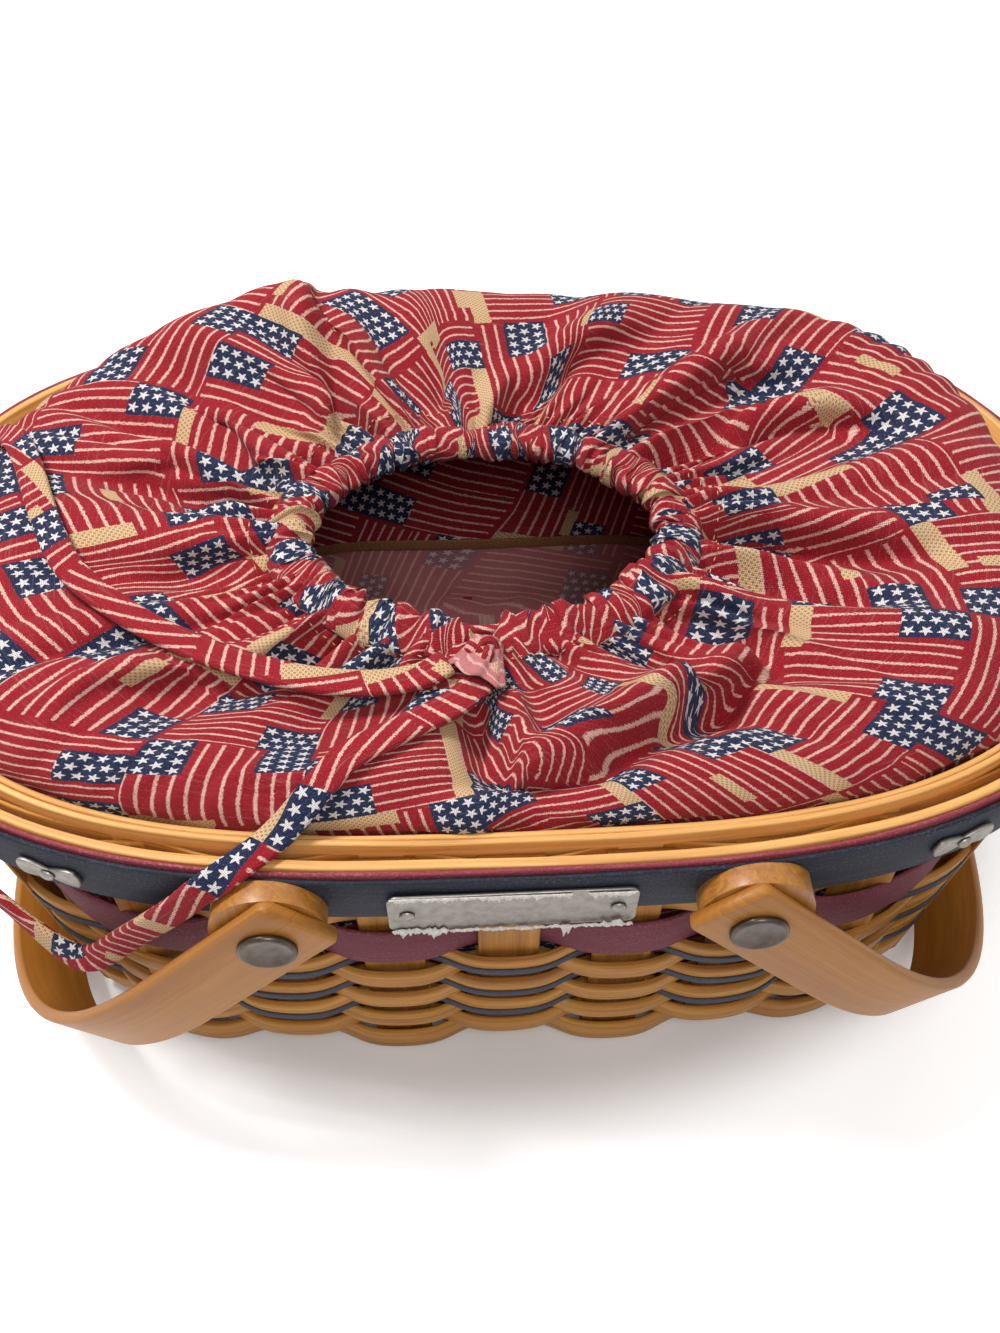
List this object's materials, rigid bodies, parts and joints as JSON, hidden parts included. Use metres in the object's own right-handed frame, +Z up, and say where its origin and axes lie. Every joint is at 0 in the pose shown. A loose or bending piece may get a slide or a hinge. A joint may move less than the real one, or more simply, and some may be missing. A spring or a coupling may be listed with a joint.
{
  "type": "woven_splint_basket",
  "caption": "Oval woven splint basket with navy and burgundy rim bands, two swing handles, a bare metal plate and a patchwork cloth liner with a drawstring neck.",
  "frame": {"origin": "on the table under the middle of the basket", "axes": "+X along the basket, -Y to its front, +Z up"},
  "size_m": [0.3254, 0.2268, 0.1539],
  "materials": {
    "splint_wood": "satin",
    "pale_splint_wood": "satin",
    "handle_wood": "satin",
    "navy_splint": "matte",
    "burgundy_splint": "matte",
    "rivet_metal": "aged",
    "bright_metal": "brushed",
    "liner_cloth": "matte",
    "tie_cloth": "matte"
  },
  "bodies": {
    "basket": {"cross_splint_1": "splint_wood", "cross_splint_2": "splint_wood", "cross_splint_3": "splint_wood", "cross_splint_4": "splint_wood", "cross_splint_5": "splint_wood", "cross_splint_6": "splint_wood", "cross_splint_7": "splint_wood", "long_splint_1": "splint_wood", "long_splint_2": "splint_wood", "long_splint_3": "splint_wood", "long_splint_4": "splint_wood", "long_splint_5": "splint_wood", "narrow_weaver_1": "pale_splint_wood", "narrow_weaver_2": "splint_wood", "narrow_weaver_3": "pale_splint_wood", "narrow_weaver_4": "splint_wood", "narrow_weaver_5": "pale_splint_wood", "narrow_weaver_6": "splint_wood", "narrow_weaver_7": "pale_splint_wood", "narrow_weaver_8": "splint_wood", "wide_coloured_weaver": "burgundy_splint", "top_weaver": "splint_wood", "rim_navy_band": "navy_splint", "rim_coloured_band": "burgundy_splint", "rim_outer_band": "pale_splint_wood", "rim_inner_band": "pale_splint_wood", "rim_lining_band": "pale_splint_wood", "ear_left_front": "handle_wood", "rivet_left_front": "rivet_metal", "ear_left_back": "handle_wood", "rivet_left_back": "rivet_metal", "plate_nail_left": "bright_metal", "ornament_left": "bright_metal", "ornament_nail_left": "bright_metal", "ear_right_front": "handle_wood", "rivet_right_front": "rivet_metal", "ear_right_back": "handle_wood", "rivet_right_back": "rivet_metal", "plate_nail_right": "bright_metal", "ornament_right": "bright_metal", "ornament_nail_right": "bright_metal", "plate": "bright_metal", "liner_bag": "liner_cloth", "neck_casing": "liner_cloth", "drawstring_loop": "tie_cloth", "drawstring_knot": "tie_cloth", "tie_left": "tie_cloth", "tie_left_knot": "tie_cloth", "tie_front": "tie_cloth", "tie_front_knot": "tie_cloth"},
    "handle_left": {"handle_left": "handle_wood"},
    "handle_right": {"handle_right": "handle_wood"}
  },
  "joints": [
    {"name": "left_handle_swing", "type": "hinge", "parent": "basket", "child": "handle_left", "pos_m": [-0.056, 0, 0.1025], "axis": [0, 1, 0], "range_deg": [0, 153]},
    {"name": "right_handle_swing", "type": "hinge", "parent": "basket", "child": "handle_right", "pos_m": [0.056, 0, 0.1025], "axis": [0, -1, 0], "range_deg": [0, 153]}
  ]
}
